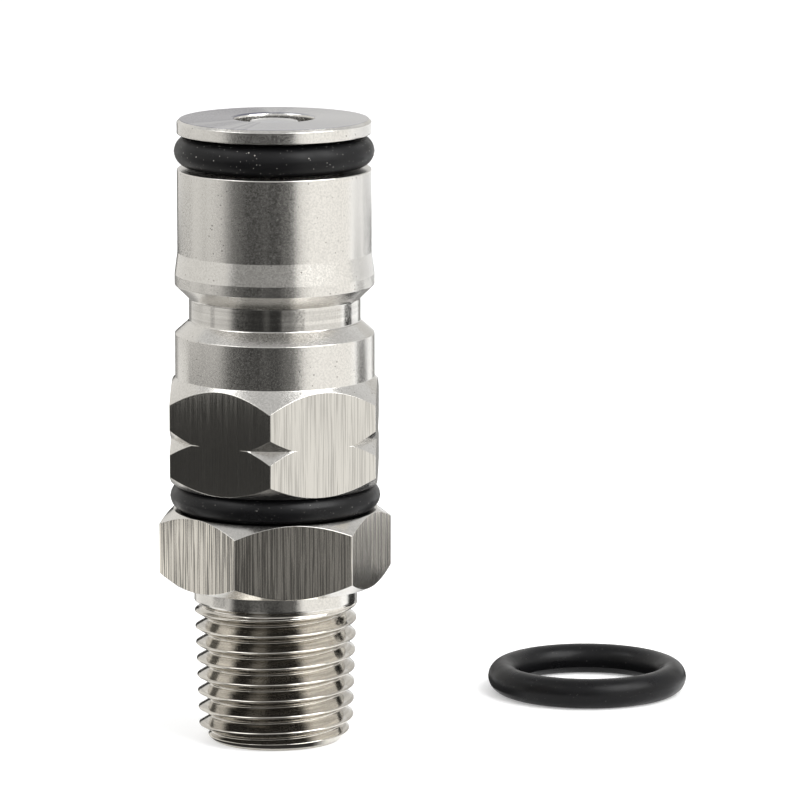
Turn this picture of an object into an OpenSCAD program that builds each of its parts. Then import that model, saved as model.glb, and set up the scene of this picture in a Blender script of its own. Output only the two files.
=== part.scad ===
// Ball lock bulkhead post: a gas post with its poppet valve, screwed on a bulkhead
// fitting that ends in a tapered pipe thread, with one rubber ring for each face of the wall.
// The origin is the centre of the pipe end's mouth, with +Z up along the axis.
// Lengths are in millimetres and angles in degrees. The pipe thread is drawn as turned
// V grooves, and the other threads are plain cylinders at their outside diameter.

/* [Pipe end] */
// Outside diameter of the tapered end at its mouth
pipe_mouth_d = 13.2; // [12.8:0.05:13.6]
// Length of the tapered end, up to the plain neck
pipe_len = 12.2; // [9:0.1:15]
// Growth of the diameter for each millimetre of length
pipe_taper = 0.0625; // [0.02:0.0025:0.08]
// Chamfer round the mouth
pipe_chamfer = 1.15; // [0.3:0.05:1.3]
// Pitch of the pipe thread
pipe_pitch = 1.411; // [1.2:0.001:1.8]
// Width of the flat on each crest of the pipe thread
pipe_crest = 0.14; // [0.06:0.01:0.4]
// Height of the lowest groove of the pipe thread
pipe_groove_z = 0.99; // [0.7:0.01:1.5]
// Height of the plain neck under the lower hexagon
pipe_neck_h = 1.5; // [0.6:0.1:3]
// Diameter of the gas passage through the fitting
passage_d = 7.5; // [5:0.1:9]

/* [Lower hexagon] */
// Width across the flats of both hexagons
hex_af = 17.46; // [17.2:0.02:19]
// Height of the lower hexagon
low_hex_h = 6.38; // [4.5:0.02:9]
// Height of the chamfers on its corners
low_hex_chamfer = 1.05; // [0.4:0.05:1.6]
// Turn of its first corner from the +X axis
low_hex_turn = 10; // [0:1:59]

/* [Threaded stub] */
// Outside diameter of the stub's thread
stub_d = 15.08; // [14.6:0.02:15.3]
// Height of the stub above the lower hexagon
stub_h = 10.7; // [9.8:0.05:10.8]
// Chamfer round the stub's tip
stub_chamfer = 0.8; // [0.3:0.05:1.2]
// Diameter of the relief that holds the squeezed ring
relief_d = 11.9; // [11:0.05:12.2]
// Height of the relief's straight part
relief_h = 2.8; // [2.3:0.05:3.4]

/* [Wall rings] */
// Inside diameter of a free wall ring
ring_id = 12.37; // [12.3:0.01:12.6]
// Thickness of a free wall ring
ring_section = 2.62; // [2.5:0.01:2.8]
// Height left between the two hexagons, where one ring is squeezed
ring_gap = 2.25; // [2:0.05:2.45]
// Distance of the loose ring to the side of the axis
spare_side = 27.7; // [22:0.1:60]
// Distance of the loose ring behind the axis
spare_back = 18; // [-20:0.5:40]

/* [Post hexagon] */
// Height of the post's hexagon
post_hex_h = 9.23; // [7.5:0.01:11]
// Height of the chamfer on its lower corners
post_hex_chamfer = 1.2; // [0.4:0.05:1.8]
// Height of the long chamfer on its upper corners
post_hex_slope = 1.8; // [0.8:0.05:2.4]
// Turn of its first corner from the +X axis
post_hex_turn = 27.5; // [0:0.5:59]
// Height of the V groove's middle above the hexagon's foot
mark_z = 4.2; // [3:0.05:5]
// Opening of the V groove at the corners
mark_h = 2.12; // [1:0.02:3]
// Diameter at the bottom of the V groove
mark_d = 18.3; // [17.6:0.05:19.4]

/* [Post outside] */
// Diameter of the collar and of the land above the neck
collar_d = 17; // [16.6:0.05:17.2]
// Height of the collar
collar_h = 3.72; // [2:0.02:6]
// Height of the chamfer between collar and neck
collar_chamfer = 1.07; // [0.3:0.01:2]
// Diameter of the neck that the latch balls drop into
neck_d = 14.6; // [14:0.05:15.2]
// Height of the neck's straight part
neck_h = 1.95; // [1:0.05:3]
// Height of the undercut between neck and land
undercut_h = 1.18; // [0.6:0.02:2]
// Height of the land
land_h = 0.89; // [0.4:0.01:2]
// Height of the flare from the land up to the barrel
flare_h = 1.86; // [1:0.02:3]
// Diameter of the barrel and of the top disc
barrel_d = 16.5; // [16.3:0.01:16.6]
// Height of the barrel
barrel_h = 7.09; // [5:0.01:10]
// Height of the groove that holds the post's ring
post_groove_h = 3.03; // [2.8:0.01:3.4]
// Thickness of the top disc
disc_h = 1.22; // [0.9:0.02:2]
// Chamfer round the top disc
disc_chamfer = 0.25; // [0.1:0.05:0.5]
// Outside diameter of the post's ring in its groove
post_ring_od = 16.98; // [16.8:0.01:17]

/* [Post inside] */
// Diameter of the hole in the top disc
hole_d = 6.8; // [6:0.05:7.2]
// Height of the hole's straight wall
hole_h = 1.37; // [0.9:0.01:1.8]
// Diameter of the valve bore
bore_d = 9.5; // [9.2:0.05:9.8]
// Diameter of the chamber under the valve bore
chamber_d = 11.5; // [11:0.05:12]
// Height of the chamber above the stub's tip
chamber_h = 6.8; // [6:0.05:7]
// Space left over the stub's tip
stub_room = 0.2; // [0.1:0.05:0.5]
// Width of the chamfer at the mouth of the post's thread
mouth_chamfer = 0.25; // [0.1:0.05:0.4]

/* [Poppet] */
// Diameter of the pin that the coupler pushes down
pin_d = 4.1; // [3.2:0.05:4.2]
// Depth of the pin's top below the top disc
pin_depth = 0.2; // [0.05:0.05:0.6]
// Height of the pin's domed top
pin_dome = 0.2; // [0.1:0.05:1]
// Thickness of the rubber ring on the stem
seat_ring_section = 2.4; // [2:0.05:2.6]
// Thickness of the flange under the rubber ring
flange_h = 0.9; // [0.6:0.05:1.4]
// Width by which the rubber ring stands out past the flange
flange_edge = 0.12; // [0.05:0.01:0.4]
// Diameter of the guide rod
rod_d = 2.4; // [1.8:0.05:2.8]
// Length of the rod that sticks out under the cage
rod_out = 1; // [0.6:0.1:2]

/* [Poppet spring] */
// Thickness of the spring's wire
wire_d = 0.7; // [0.5:0.05:0.8]
// Number of open turns
spring_turns = 5; // [4:1:6]
// Space between the turns of its closed ends
turn_gap = 0.04; // [0.02:0.01:0.1]
// Width left between the spring and the valve bore
spring_side_gap = 0.9; // [0.6:0.05:1.2]

/* [Poppet cage] */
// Thickness of the cage's sheet
cage_t = 0.6; // [0.4:0.05:0.8]
// Height of the cage's feet above the stub's tip
cage_foot_z = 3.4; // [3:0.05:4]
// Height of the cage's legs
cage_leg_h = 3.4; // [3.2:0.05:3.8]
// Height over which the legs bend down from the hub
cage_bend = 1.6; // [1.2:0.1:2]
// Width of each leg
leg_w = 2.4; // [1.6:0.05:3.2]
// Number of legs
leg_count = 3; // [3:1:4]
// Depth that the feet reach into the snap groove
foot_reach = 0.4; // [0.2:0.05:0.5]

/* [Fits] */
// Space round a thread or a rod that turns or slides
running_gap = 0.06; // [0.03:0.01:0.1]
// Space between rubber and metal that only just clear each other
rubber_gap = 0.03; // [0.02:0.01:0.05]
// Space between the poppet's rubber ring and its seat
seat_gap = 0.12; // [0.08:0.01:0.3]
// Space round the cage's feet in their groove
snap_gap = 0.1; // [0.05:0.01:0.2]

/* [Hidden] */
$fn = 96;
ring_sides = 48;

// Length by which a cutting shape passes the face that it cuts
over = 1;

// Heights of the bulkhead fitting
neck_bottom_z = pipe_len;
low_hex_z = neck_bottom_z + pipe_neck_h;
low_hex_top_z = low_hex_z + low_hex_h;
stub_top_z = low_hex_top_z + stub_h;

// Radii of the bulkhead fitting. The outline that turns the hexagons passes just outside
// their corners
hex_face_r = hex_af / 2;
hex_corner_r = hex_face_r / cos(30);
corner_room = 0.05;
turning_r = hex_corner_r + corner_room;
pipe_mouth_r = pipe_mouth_d / 2;
pipe_neck_r = pipe_mouth_r + pipe_len * pipe_taper / 2;
pipe_chamfer_r = pipe_mouth_r + pipe_chamfer * pipe_taper / 2;
pipe_groove_half = (pipe_pitch - pipe_crest) / 2;
pipe_groove_depth = pipe_groove_half / tan(30);
stub_r = stub_d / 2;
relief_r = relief_d / 2;
relief_cone_z = low_hex_top_z + relief_h;

// The squeezed wall ring keeps the section's area and its middle line
squeezed_h = ring_gap - 2 * rubber_gap;
squeezed_w = squeezed_h + (PI / 4) * (pow(ring_section, 2) - pow(squeezed_h, 2)) / squeezed_h;
ring_mid_r = (ring_id + ring_section) / 2;
ring_mid_z = low_hex_top_z + ring_gap / 2;

// Heights of the post's outside
post_z = low_hex_top_z + ring_gap;
collar_z = post_z + post_hex_h;
collar_top_z = collar_z + collar_h;
neck_z = collar_top_z + collar_chamfer;
neck_top_z = neck_z + neck_h;
land_z = neck_top_z + undercut_h;
land_top_z = land_z + land_h;
barrel_z = land_top_z + flare_h;
barrel_top_z = barrel_z + barrel_h;
disc_z = barrel_top_z + post_groove_h;
top_z = disc_z + disc_h;

// Radii of the post's outside
collar_r = collar_d / 2;
neck_r = neck_d / 2;
barrel_r = barrel_d / 2;
post_ring_mid_r = (post_ring_od - ring_section) / 2;
post_groove_r = post_ring_od / 2 - ring_section - 2 * rubber_gap;

// The V groove that marks a gas post, turned round the corners of its hexagon
mark_r = mark_d / 2;
mark_reach = reach(mark_h / 2, mark_r);
gas_mark = [[turning_r, mark_z - mark_reach], [mark_r, mark_z], [turning_r, mark_z + mark_reach]];

// The post's inside, with cones at 45 degrees
hole_r = hole_d / 2;
bore_r = bore_d / 2;
chamber_r = chamber_d / 2;
post_thread_r = stub_r + running_gap;
seat_top_z = top_z - hole_h;
seat_bottom_z = seat_top_z - (bore_r - hole_r);
shoulder_z = stub_top_z + stub_room;
chamber_top_z = shoulder_z + chamber_h;
chamber_cone_z = chamber_top_z + chamber_r - bore_r;

// The poppet's rubber ring touches the seat's cone at 45 degrees
pin_r = pin_d / 2;
rod_r = rod_d / 2;
seat_ring_r = seat_ring_section / 2;
seat_ring_mid_r = pin_r + rubber_gap + seat_ring_r;
seat_ring_z = seat_top_z + hole_r - seat_ring_mid_r - (seat_ring_r + seat_gap) * sqrt(2);
flange_r = seat_ring_mid_r + seat_ring_r - flange_edge;
flange_top_z = seat_ring_z - seat_ring_r - rubber_gap;
flange_z = flange_top_z - flange_h;
pin_top_z = top_z - pin_depth;

// The cage stands in a groove of the chamber and carries the spring
foot_z = shoulder_z + cage_foot_z;
cage_top_z = foot_z + cage_leg_h;
cage_hub_z = cage_top_z - cage_t;
cage_hub_r = bore_r - spring_side_gap;
cage_leg_r = chamber_r - snap_gap;
snap_groove_r = chamber_r + foot_reach + snap_gap;
rod_bottom_z = cage_hub_z - rod_out;

// The spring has one closed turn at each end
spring_r = bore_r - spring_side_gap - wire_d / 2;
spring_bottom_z = cage_top_z + rubber_gap;
spring_h = flange_z - rubber_gap - spring_bottom_z;
closed_pitch = wire_d + turn_gap;
open_pitch = (spring_h - wire_d - 2 * closed_pitch) / spring_turns;
spring_all_turns = spring_turns + 2;
wire_sides = 8;
steps_per_turn = 24;

// Height at turning_r of a slope that starts at start_r and has the given height at a corner
function reach(height, start_r) = height * (turning_r - start_r) / (hex_corner_r - start_r);

// A hexagonal bar whose corners are chamfered by turning. low and high are the heights of
// the chamfers, top_r is the radius at which the upper one ends, and groove is the outline
// of a groove between them
module turned_hexagon(height, turn, low, high, top_r, groove = []) {
    intersection() {
        rotate([0, 0, turn]) cylinder(h = height, r = hex_corner_r, $fn = 6);
        rotate_extrude() polygon(concat(
            [[0, 0], [hex_face_r, 0], [turning_r, reach(low, hex_face_r)]],
            groove,
            [[turning_r, height - reach(high, top_r)], [top_r, height], [0, height]]));
    }
}

// A rubber ring with its middle at the given height
module round_ring(mid_r, section, z) {
    translate([0, 0, z]) rotate_extrude() translate([mid_r, 0]) circle(d = section, $fn = ring_sides);
}

// Outlines of the pipe thread's V grooves. Each stands open twice as wide as on the cone
module pipe_grooves() {
    for (z = [pipe_groove_z : pipe_pitch : neck_bottom_z - pipe_groove_half])
        translate([pipe_mouth_r + z * pipe_taper / 2 - pipe_groove_depth, z]) scale(2)
            polygon([[0, 0], [pipe_groove_depth, -pipe_groove_half], [pipe_groove_depth, pipe_groove_half]]);
}

// Pipe end, lower hexagon and threaded stub, turned from one bar
module bulkhead_fitting() {
    color("lightgray") difference() {
        union() {
            rotate_extrude() difference() {
                polygon([
                    [0, 0], [pipe_chamfer_r - pipe_chamfer, 0], [pipe_chamfer_r, pipe_chamfer],
                    [pipe_neck_r, neck_bottom_z], [pipe_neck_r, low_hex_z],
                    [relief_r, low_hex_z], [relief_r, relief_cone_z],
                    [stub_r, relief_cone_z + stub_r - relief_r],
                    [stub_r, stub_top_z - stub_chamfer],
                    [stub_r - stub_chamfer, stub_top_z], [0, stub_top_z]]);
                pipe_grooves();
            }
            translate([0, 0, low_hex_z])
                turned_hexagon(low_hex_h, low_hex_turn, low_hex_chamfer, low_hex_chamfer, hex_face_r);
        }
        translate([0, 0, -over]) cylinder(h = stub_top_z + 2 * over, d = passage_d);
    }
}

// The wall ring that is squeezed between the two hexagons
module bulkhead_o_ring() {
    flat_half = (squeezed_w - squeezed_h) / 2;
    color("dimgray") translate([0, 0, ring_mid_z]) rotate_extrude() {
        for (side = [-1, 1])
            translate([ring_mid_r + side * flat_half, 0]) circle(d = squeezed_h, $fn = ring_sides);
        translate([ring_mid_r - flat_half, -squeezed_h / 2]) square([2 * flat_half, squeezed_h]);
    }
}

// The wall ring for the other face of the wall, lying on the surface beside the fitting
module spare_o_ring() {
    color("dimgray") translate([spare_side, spare_back, 0])
        round_ring(ring_mid_r, ring_section, ring_section / 2);
}

// The ring that seals in the coupler
module post_o_ring() {
    color("dimgray") round_ring(post_ring_mid_r, ring_section, barrel_top_z + post_groove_h / 2);
}

// Outline of the post above its hexagon
module post_outside() {
    rotate_extrude() polygon([
        [0, collar_z], [collar_r, collar_z], [collar_r, collar_top_z],
        [neck_r, neck_z], [neck_r, neck_top_z],
        [collar_r, land_z], [collar_r, land_top_z],
        [barrel_r, barrel_z], [barrel_r, barrel_top_z],
        [post_groove_r, barrel_top_z], [post_groove_r, disc_z],
        [barrel_r, disc_z], [barrel_r, top_z - disc_chamfer],
        [barrel_r - disc_chamfer, top_z], [0, top_z]]);
}

// Thread bore, chamber with its snap groove, valve bore, seat and top hole
module post_inside() {
    rotate_extrude() polygon([
        [0, post_z - over], [post_thread_r + mouth_chamfer, post_z - over],
        [post_thread_r + mouth_chamfer, post_z], [post_thread_r, post_z + mouth_chamfer],
        [post_thread_r, shoulder_z], [chamber_r, shoulder_z],
        [chamber_r, foot_z - snap_gap], [snap_groove_r, foot_z - snap_gap],
        [snap_groove_r, foot_z + cage_t + snap_gap], [chamber_r, foot_z + cage_t + snap_gap],
        [chamber_r, chamber_top_z], [bore_r, chamber_cone_z],
        [bore_r, seat_bottom_z], [hole_r, seat_top_z], [hole_r, top_z + over], [0, top_z + over]]);
}

// The post, turned from one hexagonal bar
module post_body() {
    color("silver") difference() {
        union() {
            translate([0, 0, post_z]) turned_hexagon(
                post_hex_h, post_hex_turn, post_hex_chamfer, post_hex_slope, collar_r, gas_mark);
            post_outside();
        }
        post_inside();
    }
}

// Spring seat that guides the rod and snaps into the post with its legs
module poppet_cage() {
    color("gainsboro") intersection() {
        rotate_extrude() polygon([
            [rod_r + running_gap, cage_hub_z], [cage_hub_r - cage_t / 2, cage_hub_z],
            [cage_leg_r - cage_t, cage_hub_z - cage_bend], [cage_leg_r - cage_t, foot_z],
            [cage_leg_r + foot_reach, foot_z], [cage_leg_r + foot_reach, foot_z + cage_t],
            [cage_leg_r, foot_z + cage_t], [cage_leg_r, cage_hub_z - cage_bend + cage_t / 2],
            [cage_hub_r, cage_top_z], [rod_r + running_gap, cage_top_z]]);
        union() {
            translate([0, 0, cage_hub_z]) cylinder(h = cage_t + over, r = cage_hub_r);
            for (leg = [0 : leg_count - 1]) rotate([0, 0, leg * 360 / leg_count])
                translate([0, -leg_w / 2, foot_z - over])
                    cube([snap_groove_r + over, leg_w, cage_leg_h + 2 * over]);
        }
    }
}

// Height of the wire's middle after a number of turns
function wire_z(turns) =
    spring_bottom_z + wire_d / 2 + closed_pitch * min(turns, 1)
    + open_pitch * max(0, min(turns - 1, spring_turns))
    + closed_pitch * max(0, turns - 1 - spring_turns);

// One ring of points round the wire
function wire_ring(turns) = [
    for (side = [0 : wire_sides - 1])
        let (a = turns * 360, b = side * 360 / wire_sides, r = spring_r + wire_d / 2 * cos(b))
        [r * cos(a), r * sin(a), wire_z(turns) + wire_d / 2 * sin(b)]];

// Coil spring with closed ends
module poppet_spring() {
    rings = spring_all_turns * steps_per_turn;
    points = [for (i = [0 : rings]) each wire_ring(i / steps_per_turn)];
    sides = [for (i = [0 : rings - 1], k = [0 : wire_sides - 1])
        let (low = i * wire_sides, next = (k + 1) % wire_sides)
        [low + k, low + wire_sides + k, low + wire_sides + next, low + next]];
    first = [for (k = [0 : wire_sides - 1]) k];
    last = [for (k = [0 : wire_sides - 1]) rings * wire_sides + wire_sides - 1 - k];
    color("silver") polyhedron(points = points, faces = concat(sides, [first, last]));
}

// Pin, flange and guide rod in one piece
module poppet_stem() {
    dome_r = (pow(pin_r, 2) + pow(pin_dome, 2)) / (2 * pin_dome);
    color("whitesmoke") {
        intersection() {
            rotate_extrude() polygon([
                [0, rod_bottom_z], [rod_r, rod_bottom_z], [rod_r, flange_z],
                [flange_r, flange_z], [flange_r, flange_top_z],
                [pin_r, flange_top_z], [pin_r, pin_top_z], [0, pin_top_z]]);
            union() {
                translate([0, 0, pin_top_z - dome_r]) sphere(r = dome_r);
                cylinder(h = pin_top_z - pin_dome, r = flange_r + over);
            }
        }
    }
}

// The rubber ring that closes the seat
module poppet_seal() {
    color("dimgray") round_ring(seat_ring_mid_r, seat_ring_section, seat_ring_z);
}

bulkhead_fitting();
bulkhead_o_ring();
spare_o_ring();
post_o_ring();
post_body();
poppet_cage();
poppet_spring();
poppet_stem();
poppet_seal();
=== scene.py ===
"""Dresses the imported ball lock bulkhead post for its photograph.

Every metal piece is a closed skin of columns round its axis, with the threads and the
spring grown by Geometry Nodes. Sizes are in millimetres and angles in degrees until a
mesh is made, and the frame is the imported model's: +Z up along the axis, the camera at -Y.
"""
import logging
import math
from dataclasses import dataclass
from enum import Enum
from typing import Any, Callable, Sequence

import bmesh
import bpy
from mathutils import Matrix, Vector


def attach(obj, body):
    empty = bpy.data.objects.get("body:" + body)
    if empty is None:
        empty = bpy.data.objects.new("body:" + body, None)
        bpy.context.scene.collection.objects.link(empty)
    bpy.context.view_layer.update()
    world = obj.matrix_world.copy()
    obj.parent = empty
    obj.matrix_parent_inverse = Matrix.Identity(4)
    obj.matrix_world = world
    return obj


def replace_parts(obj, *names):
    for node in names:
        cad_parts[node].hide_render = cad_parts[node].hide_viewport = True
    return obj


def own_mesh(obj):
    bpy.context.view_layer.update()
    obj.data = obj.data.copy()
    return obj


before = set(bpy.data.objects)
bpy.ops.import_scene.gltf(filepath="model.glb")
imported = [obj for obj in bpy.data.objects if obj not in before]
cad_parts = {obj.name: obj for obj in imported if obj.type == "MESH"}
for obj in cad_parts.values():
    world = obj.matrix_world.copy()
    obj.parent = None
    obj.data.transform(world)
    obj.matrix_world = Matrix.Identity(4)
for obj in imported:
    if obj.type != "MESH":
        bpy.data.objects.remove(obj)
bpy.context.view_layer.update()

MM = 0.001
log = logging.getLogger("post")

# How far a corner is rounded, from a turned crease to a fillet
CREASE = 0.015
SHARP = 0.03
CRISP = 0.05
EASED = 0.08
BROKEN = 0.1
FILLET = 0.15

# The strip beside each rounding that keeps the next face shaded flat
GUARD = 0.025

# How close points are that become one
WELD = 0.001

Color = tuple[float, float, float]
Span = tuple[float, float]
Point = tuple[float, float]
Column = tuple[float, float]
Row = tuple[float, float, float, float]
Socket = bpy.types.NodeSocket
Ring = list[bmesh.types.BMVert]


class Skin(Enum):
    """The finishes of one metal piece, by their place in its material list."""

    SATIN = 0
    BRUSHED = 1
    GLOSSY = 2
    BORE = 3
    FACED = 4


# Node trees


class Graph:
    """A node tree that is being filled."""

    def __init__(self, tree: bpy.types.NodeTree) -> None:
        """Keeps the tree that the nodes go into.

        Args:
            tree: the node tree.
        """
        self.tree = tree

    def feed(self, node: bpy.types.Node, inputs: dict[Any, Any]) -> None:
        """Fills a node's sockets.

        Args:
            node: the node.
            inputs: what goes into its sockets, by name or number: a value, or a socket to link.
        """
        for key, value in inputs.items():
            if isinstance(value, Socket):
                self.tree.links.new(value, node.inputs[key])
            else:
                node.inputs[key].default_value = value

    def node(self, kind: str, inputs: dict[Any, Any] | None = None, **settings: Any) -> bpy.types.Node:
        """Adds one node.

        Args:
            kind: the node's type name.
            inputs: what goes into its sockets.
            settings: the node's own properties.

        Returns:
            The new node.
        """
        made = self.tree.nodes.new(kind)
        for name, value in settings.items():
            setattr(made, name, value)
        self.feed(made, inputs or {})
        return made

    def take(self, kind: str, inputs: dict[Any, Any] | None = None, **settings: Any) -> Socket:
        """Adds one node as node() does, and returns its first result."""
        return self.node(kind, inputs, **settings).outputs[0]

    def math(self, operation: str, *values: Any) -> Socket:
        """Adds a Math node for the values, and returns its result."""
        return self.take("ShaderNodeMath", dict(enumerate(values)), operation=operation)

    def ramp(self, value: Socket, span: Span, start: float = 0.0, end: float = 1.0) -> Socket:
        """Maps a value from a span to the range from start to end, and holds it there."""
        return self.take("ShaderNodeMapRange", {0: value, 1: span[0], 2: span[1], 3: start, 4: end})

    def vector(self, x: Socket, y: Socket, z: Socket) -> Socket:
        """Joins three numbers to a vector."""
        return self.take("ShaderNodeCombineXYZ", {0: x, 1: y, 2: z})

    def on_circle(self, radius: Socket, angle: Socket, height: Socket) -> Socket:
        """Gives the point at a radius and an angle round the axis, at a height."""
        return self.vector(self.math("MULTIPLY", radius, self.math("COSINE", angle)),
                           self.math("MULTIPLY", radius, self.math("SINE", angle)), height)

    def place(self) -> Socket:
        """Gives each point's place on its piece, in metres."""
        return self.node("ShaderNodeTexCoord").outputs["Object"]

    def tangent(self) -> Socket:
        """Gives the direction round the Z axis at each point."""
        return self.take("ShaderNodeTangent", direction_type="RADIAL", axis="Z")

    def noise(self, place: Socket, scale: float, detail: float = 3.0, roughness: float = 0.5) -> Socket:
        """Adds a noise from 0 to 1, with its scale in waves for each unit of place."""
        return self.take("ShaderNodeTexNoise", {
            "Vector": place, "Scale": scale, "Detail": detail, "Roughness": roughness})

    def relief(self, *layers: tuple[Socket, float]) -> Socket:
        """Gives the normal that a relief bends.

        Args:
            layers: what the relief follows, each with its depth in millimetres.

        Returns:
            The bent normal.
        """
        height: Socket | None = None
        for layer, depth in layers:
            rise = self.math("MULTIPLY", layer, depth * MM)
            height = rise if height is None else self.math("ADD", height, rise)
        return self.take("ShaderNodeBump", {"Height": height, "Distance": 1.0, "Strength": 1.0})

    def mix(self, share: Socket, low: Color | Socket, high: Color) -> Socket:
        """Mixes two colours.

        Args:
            share: how much of the second there is.
            low: the first colour, or a socket that gives it.
            high: the second colour.

        Returns:
            The mixed colour.
        """
        first = low if isinstance(low, Socket) else (*low, 1.0)
        return self.node("ShaderNodeMix", {0: share, 6: first, 7: (*high, 1.0)}, data_type="RGBA").outputs[2]


class GrownMesh(Graph):
    """A Geometry Nodes tree with named inputs, whose result becomes a plain mesh."""

    def __init__(self, name: str) -> None:
        """Starts an empty tree.

        Args:
            name: the tree's name.
        """
        super().__init__(bpy.data.node_groups.new(name, "GeometryNodeTree"))
        self.name = name
        self.identifiers: dict[str, str] = {}
        self.tree.interface.new_socket("Geometry", in_out="OUTPUT", socket_type="NodeSocketGeometry")
        self.entry = self.tree.nodes.new("NodeGroupInput")
        self.finish = self.size("Finish", "NodeSocketMaterial")

    def size(self, label: str, kind: str = "NodeSocketFloat") -> Socket:
        """Adds a named input.

        Args:
            label: the input's name.
            kind: its socket type.

        Returns:
            The socket that gives the input inside the tree.
        """
        socket = self.tree.interface.new_socket(label, in_out="INPUT", socket_type=kind)
        self.identifiers[label] = socket.identifier
        return self.entry.outputs[label]

    def close(self, geometry: Socket) -> None:
        """Ends the tree with Realize Instances and Set Material.

        Args:
            geometry: what the tree has made.
        """
        real = self.take("GeometryNodeRealizeInstances", {"Geometry": geometry})
        dressed = self.take("GeometryNodeSetMaterial", {"Geometry": real, "Material": self.finish})
        self.node("NodeGroupOutput", {0: dressed})

    def bake(self, values: dict[str, Any]) -> bpy.types.Mesh:
        """Runs the tree once.

        Args:
            values: the inputs, by their names.

        Returns:
            The plain mesh that it gives.
        """
        holder = bpy.data.objects.new(self.name, bpy.data.meshes.new(self.name))
        bpy.context.scene.collection.objects.link(holder)
        modifier = holder.modifiers.new(self.name, "NODES")
        modifier.node_group = self.tree
        for label, value in values.items():
            modifier[self.identifiers[label]] = value
        bpy.context.view_layer.update()
        shaped = holder.evaluated_get(bpy.context.evaluated_depsgraph_get())
        mesh = bpy.data.meshes.new_from_object(shaped)
        holder.modifiers.remove(modifier)
        bpy.data.objects.remove(holder)
        return mesh


# Finishes


@dataclass(frozen=True)
class Lathe:
    """Steel as a lathe leaves it, with grain, rings round the axis, bands along it and pits.

    Depths are in millimetres, and scales in waves for each millimetre. A lean is how fast
    rings or bands change along their own run. A span is where a noise starts to count and
    where it counts in full. Streaks are stains in the rings. The painted reflection is a darker
    wedge painted into the colour at an angle round the axis, where the bands bend its edges;
    it stands in for the faced steel's reflection of its surroundings.
    """

    name: str
    color: Color = (0.66, 0.645, 0.615)
    roughness: float = 0.2
    rough_span: Span = (0.3, 0.7)
    rough_below: float = 0.04
    rough_above: float = 0.06
    stretch: float = 0.6
    stretch_turn: float = 0.25
    grain: float = 0.0012
    grain_scale: float = 6.0
    grain_tone: float = 0.88
    grain_span: Span = (0.35, 0.6)
    rings: float = 0.0004
    ring_scale: float = 6.0
    ring_lean: float = 0.2
    bands: float = 0.0
    band_scale: float = 5.0
    band_lean: float = 0.02
    pits: float = 0.0
    pit_scale: float = 2.2
    pit_span: Span = (0.1, 0.18)
    pit_depth: float = 0.01
    pit_color: Color = (0.08, 0.07, 0.06)
    patch_scale: float = 0.5
    patch_span: Span = (0.52, 0.6)
    streaks: float = 0.0
    streak_scale: float = 3.0
    streak_span: Span = (0.42, 0.6)
    streak_tone: float = 0.3
    # Painted reflection: a darker wedge painted into the colour in place of the faced steel's reflection
    painted_reflection: Color | None = None
    painted_reflection_angle: float = 158.0
    painted_reflection_span: Span = (0.1, 0.75)
    painted_reflection_bend: float = 2.2

    def material(self) -> bpy.types.Material:
        """Builds the finish.

        Returns:
            Its node material.
        """
        made, graph, shader = blank_material(self.name, self.color)
        place = graph.take("ShaderNodeVectorMath", {0: graph.place(), "Scale": 1 / MM}, operation="SCALE")
        x, y, z = graph.node("ShaderNodeSeparateXYZ", {0: place}).outputs
        angle = graph.math("ARCTAN2", y, x)
        out = graph.math("SQRT", graph.math(
            "ADD", graph.math("MULTIPLY", x, x), graph.math("MULTIPLY", y, y)))
        turned = graph.vector(out, z, graph.math("MULTIPLY", angle, self.ring_lean))
        drawn = graph.vector(graph.math("COSINE", angle), graph.math("SINE", angle),
                             graph.math("MULTIPLY", z, self.band_lean))
        grain = graph.noise(place, self.grain_scale)
        rings = graph.noise(turned, self.ring_scale)
        bands = graph.noise(drawn, self.band_scale)
        cells = graph.node("ShaderNodeTexVoronoi", {"Vector": place, "Scale": self.pit_scale})
        pits = graph.math("MULTIPLY", graph.ramp(cells.outputs["Distance"], self.pit_span, self.pits, 0.0),
                          graph.ramp(graph.noise(place, self.patch_scale), self.patch_span))
        tint = graph.mix(graph.ramp(grain, self.grain_span), toned(self.color, self.grain_tone), self.color)
        tint = graph.mix(pits, tint, self.pit_color)
        if self.streaks:
            worn = graph.ramp(graph.noise(turned, self.streak_scale), self.streak_span, 0.0, self.streaks)
            tint = graph.mix(worn, tint, toned(self.color, self.streak_tone))
        # Paints the painted reflection: a darker wedge round the axis, its edges bent by the bands
        if self.painted_reflection:
            bend = graph.math("MULTIPLY", graph.math("SUBTRACT", bands, 0.5), self.painted_reflection_bend)
            turn = graph.math("ADD", bend, graph.math("SUBTRACT", angle, math.radians(self.painted_reflection_angle)))
            tint = graph.mix(graph.ramp(graph.math("COSINE", turn), self.painted_reflection_span), tint, self.painted_reflection)
        graph.feed(shader, {
            "Base Color": tint, "Metallic": 1.0,
            "Roughness": graph.ramp(grain, self.rough_span, self.roughness - self.rough_below,
                                    self.roughness + self.rough_above),
            "Normal": graph.relief((grain, self.grain), (rings, self.rings), (bands, self.bands),
                                   (pits, -self.pit_depth)),
            "Anisotropic": self.stretch, "Anisotropic Rotation": self.stretch_turn,
            "Tangent": graph.tangent()})
        return made


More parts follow.
